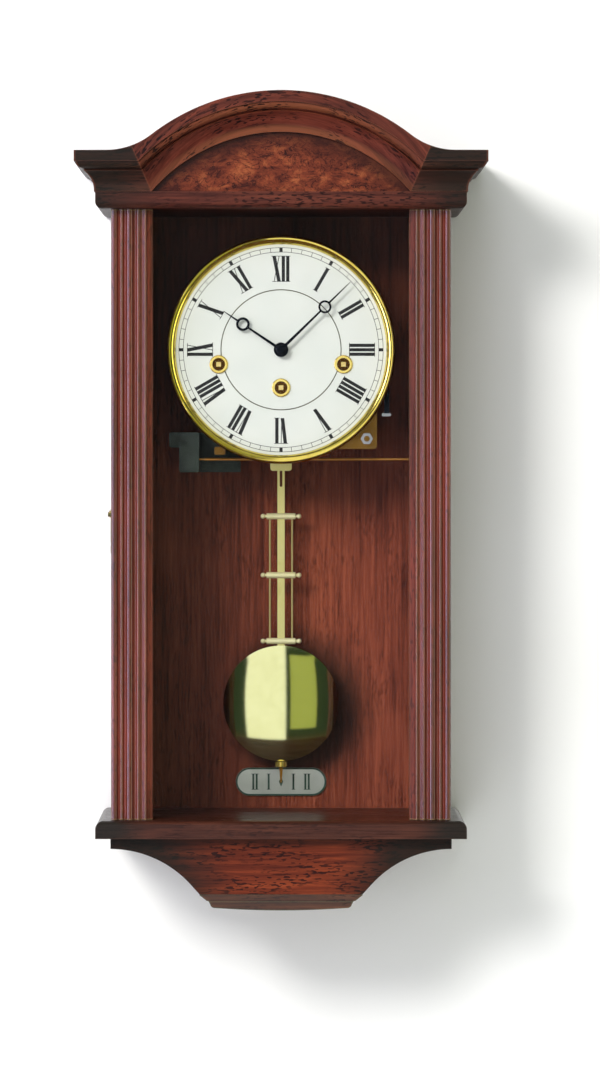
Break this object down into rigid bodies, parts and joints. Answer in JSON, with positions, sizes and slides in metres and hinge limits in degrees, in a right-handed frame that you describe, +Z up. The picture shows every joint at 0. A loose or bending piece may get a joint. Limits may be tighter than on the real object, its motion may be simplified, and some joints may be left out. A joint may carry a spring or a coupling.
{
  "type": "wall clock",
  "caption": "Wall clock with an arched crown, a glazed door between fluted columns, a round dial, a swinging disc pendulum and a chiming movement on a bracket base.",
  "frame": {"origin": "centre of the hanging keyhole on the back of the case, in the plane of the wall", "axes": "+Y into the wall, +Z up, +X to the viewer's right"},
  "size_m": [0.28, 0.1405, 0.556],
  "materials": {
    "dark_wood": "satin lacquered mahogany, dark",
    "bright_wood": "satin lacquered mahogany, reddish",
    "burl": "glossy burl veneer",
    "panel_wood": "satin stained veneer",
    "glass": "clear",
    "polished_brass": "polished",
    "pale_brass": "brushed, pale",
    "movement_brass": "satin",
    "steel": "ground",
    "blued_steel": "black, gloss",
    "dial_white": "satin white",
    "beat_silver": "brushed, silvered",
    "iron": "matt sand cast",
    "gong_bronze": "drawn bronze"
  },
  "bodies": {
    "case": {"back_panel": "panel_wood", "case_sides": "dark_wood", "top_board": "dark_wood", "base_shelf": "dark_wood", "arch_moulding": "dark_wood", "cornice_mouldings": "dark_wood", "arch_panel": "burl", "crown_board": "dark_wood", "console_front": "bright_wood", "console_sides": "dark_wood", "console_cap": "dark_wood", "hanger_plate": "steel", "case_screws": "polished_brass", "beat_plate": "beat_silver", "dial_plate": "dial_white", "dial_bezel": "polished_brass", "winding_grommets": "polished_brass", "front_plate": "movement_brass", "back_plate": "movement_brass", "movement_pillars": "movement_brass", "pillar_nuts": "steel", "suspension_cock": "movement_brass", "suspension_spring": "steel", "gong_block": "iron", "gong_rods": "gong_bronze", "hammer_shaft": "steel"},
    "door": {"door_stile_left": "dark_wood", "door_stile_right": "dark_wood", "door_glass": "glass", "door_pivot_pins": "steel", "latch_stud": "polished_brass"},
    "latch": {"latch_hook": "polished_brass"},
    "minute": {"minute_hand": "blued_steel", "hand_nut": "blued_steel", "cannon_pinion": "movement_brass"},
    "hour": {"hour_hand": "blued_steel", "hour_wheel": "movement_brass"},
    "minute_work": {"minute_wheel": "movement_brass"},
    "centre": {"centre_wheel": "movement_brass"},
    "second": {"second_wheel": "movement_brass"},
    "third": {"third_wheel": "movement_brass"},
    "escape": {"escape_wheel": "movement_brass"},
    "time_drum": {"time_barrel": "movement_brass"},
    "strike_drum": {"strike_barrel": "movement_brass"},
    "chime_spring_drum": {"chime_barrel": "movement_brass"},
    "pallets": {"verge": "pale_brass"},
    "pendulum": {"pendulum_rod": "pale_brass", "pendulum_frame": "pale_brass", "pendulum_bob": "polished_brass", "rating_nut": "polished_brass"},
    "time_key": {"time_winding_arbor": "steel"},
    "strike_key": {"strike_winding_arbor": "steel"},
    "chime_key": {"chime_winding_arbor": "steel"},
    "pin_drum": {"chime_drum": "movement_brass"},
    "silencer": {"silence_lever": "blued_steel"},
    "hammer_1": {"chime_hammer_1": "movement_brass"},
    "hammer_2": {"chime_hammer_2": "movement_brass"},
    "hammer_3": {"chime_hammer_3": "movement_brass"},
    "hammer_4": {"chime_hammer_4": "movement_brass"},
    "hammer_5": {"chime_hammer_5": "movement_brass"}
  },
  "joints": [
    {"name": "door_swing", "type": "hinge", "parent": "case", "child": "door", "pos_m": [0.1106, -0.103, -0.3855], "axis": [0, 0, 1], "range_deg": [0, 100]},
    {"name": "latch_turn", "type": "hinge", "parent": "case", "child": "latch", "pos_m": [-0.1159, -0.086, -0.1777], "axis": [-1, 0, 0], "range_deg": [0, 90]},
    {"name": "minute_turn", "type": "hinge", "parent": "case", "child": "minute", "pos_m": [0, -0.077, -0.065], "axis": [0, 1, 0], "continuous": true},
    {"name": "hour_turn", "type": "hinge", "parent": "case", "child": "hour", "pos_m": [0, -0.077, -0.065], "axis": [0, 1, 0], "continuous": true},
    {"name": "minute_wheel_turn", "type": "hinge", "parent": "case", "child": "minute_work", "pos_m": [-0.01299, -0.077, -0.0575], "axis": [0, 1, 0], "continuous": true},
    {"name": "third_wheel_turn", "type": "hinge", "parent": "case", "child": "third", "pos_m": [-0.01182, -0.077, -0.05318], "axis": [0, 1, 0], "continuous": true},
    {"name": "centre_wheel_turn", "type": "hinge", "parent": "case", "child": "centre", "pos_m": [0, -0.077, -0.065], "axis": [0, 1, 0], "continuous": true},
    {"name": "second_wheel_turn", "type": "hinge", "parent": "case", "child": "second", "pos_m": [0.01599, -0.077, -0.07211], "axis": [0, 1, 0], "continuous": true},
    {"name": "escape_wheel_turn", "type": "hinge", "parent": "case", "child": "escape", "pos_m": [0, -0.077, -0.0424], "axis": [0, 1, 0], "continuous": true},
    {"name": "time_barrel_turn", "type": "hinge", "parent": "case", "child": "time_drum", "pos_m": [0, -0.077, -0.091], "axis": [0, 1, 0], "continuous": true},
    {"name": "strike_barrel_turn", "type": "hinge", "parent": "case", "child": "strike_drum", "pos_m": [-0.0428, -0.077, -0.075], "axis": [0, 1, 0], "continuous": true},
    {"name": "chime_barrel_turn", "type": "hinge", "parent": "case", "child": "chime_spring_drum", "pos_m": [0.0428, -0.077, -0.075], "axis": [0, 1, 0], "continuous": true},
    {"name": "chime_drum_turn", "type": "hinge", "parent": "case", "child": "pin_drum", "pos_m": [0.03064, -0.077, -0.10509], "axis": [0, 1, 0], "continuous": true},
    {"name": "time_winding", "type": "hinge", "parent": "case", "child": "time_key", "pos_m": [0, -0.077, -0.091], "axis": [0, 1, 0], "continuous": true},
    {"name": "strike_winding", "type": "hinge", "parent": "case", "child": "strike_key", "pos_m": [-0.0428, -0.077, -0.075], "axis": [0, 1, 0], "continuous": true},
    {"name": "chime_winding", "type": "hinge", "parent": "case", "child": "chime_key", "pos_m": [0.0428, -0.077, -0.075], "axis": [0, 1, 0], "continuous": true},
    {"name": "pendulum_swing", "type": "hinge", "parent": "case", "child": "pendulum", "pos_m": [0, -0.0245, -0.031], "axis": [0, 1, 0], "range_deg": [-4, 4]},
    {"name": "pallet_rock", "type": "hinge", "parent": "case", "child": "pallets", "pos_m": [0, -0.0245, -0.031], "axis": [0, 1, 0], "range_deg": [-4, 4]},
    {"name": "hammer_1_lift", "type": "hinge", "parent": "case", "child": "hammer_1", "pos_m": [-0.002, -0.062, -0.125], "axis": [0, 1, 0], "range_deg": [0, 12]},
    {"name": "hammer_2_lift", "type": "hinge", "parent": "case", "child": "hammer_2", "pos_m": [-0.002, -0.056, -0.125], "axis": [0, 1, 0], "range_deg": [0, 12]},
    {"name": "hammer_3_lift", "type": "hinge", "parent": "case", "child": "hammer_3", "pos_m": [-0.002, -0.05, -0.125], "axis": [0, 1, 0], "range_deg": [0, 12]},
    {"name": "hammer_4_lift", "type": "hinge", "parent": "case", "child": "hammer_4", "pos_m": [-0.002, -0.044, -0.125], "axis": [0, 1, 0], "range_deg": [0, 12]},
    {"name": "hammer_5_lift", "type": "hinge", "parent": "case", "child": "hammer_5", "pos_m": [-0.002, -0.038, -0.125], "axis": [0, 1, 0], "range_deg": [0, 12]},
    {"name": "silence_switch", "type": "hinge", "parent": "case", "child": "silencer", "pos_m": [0.06, -0.077, -0.077], "axis": [0, 1, 0], "range_deg": [0, 6]}
  ],
  "couplings": [
    {"joint": "hour_turn", "follows": "minute_turn", "ratio": 0.083333},
    {"joint": "minute_wheel_turn", "follows": "minute_turn", "ratio": -0.33333},
    {"joint": "centre_wheel_turn", "follows": "third_wheel_turn", "ratio": -0.1},
    {"joint": "escape_wheel_turn", "follows": "third_wheel_turn", "ratio": -9},
    {"joint": "second_wheel_turn", "follows": "third_wheel_turn", "ratio": 0.016667},
    {"joint": "time_barrel_turn", "follows": "third_wheel_turn", "ratio": -0.0025641},
    {"joint": "chime_drum_turn", "follows": "chime_barrel_turn", "ratio": -1.95},
    {"joint": "pallet_rock", "follows": "pendulum_swing", "ratio": 1}
  ]
}
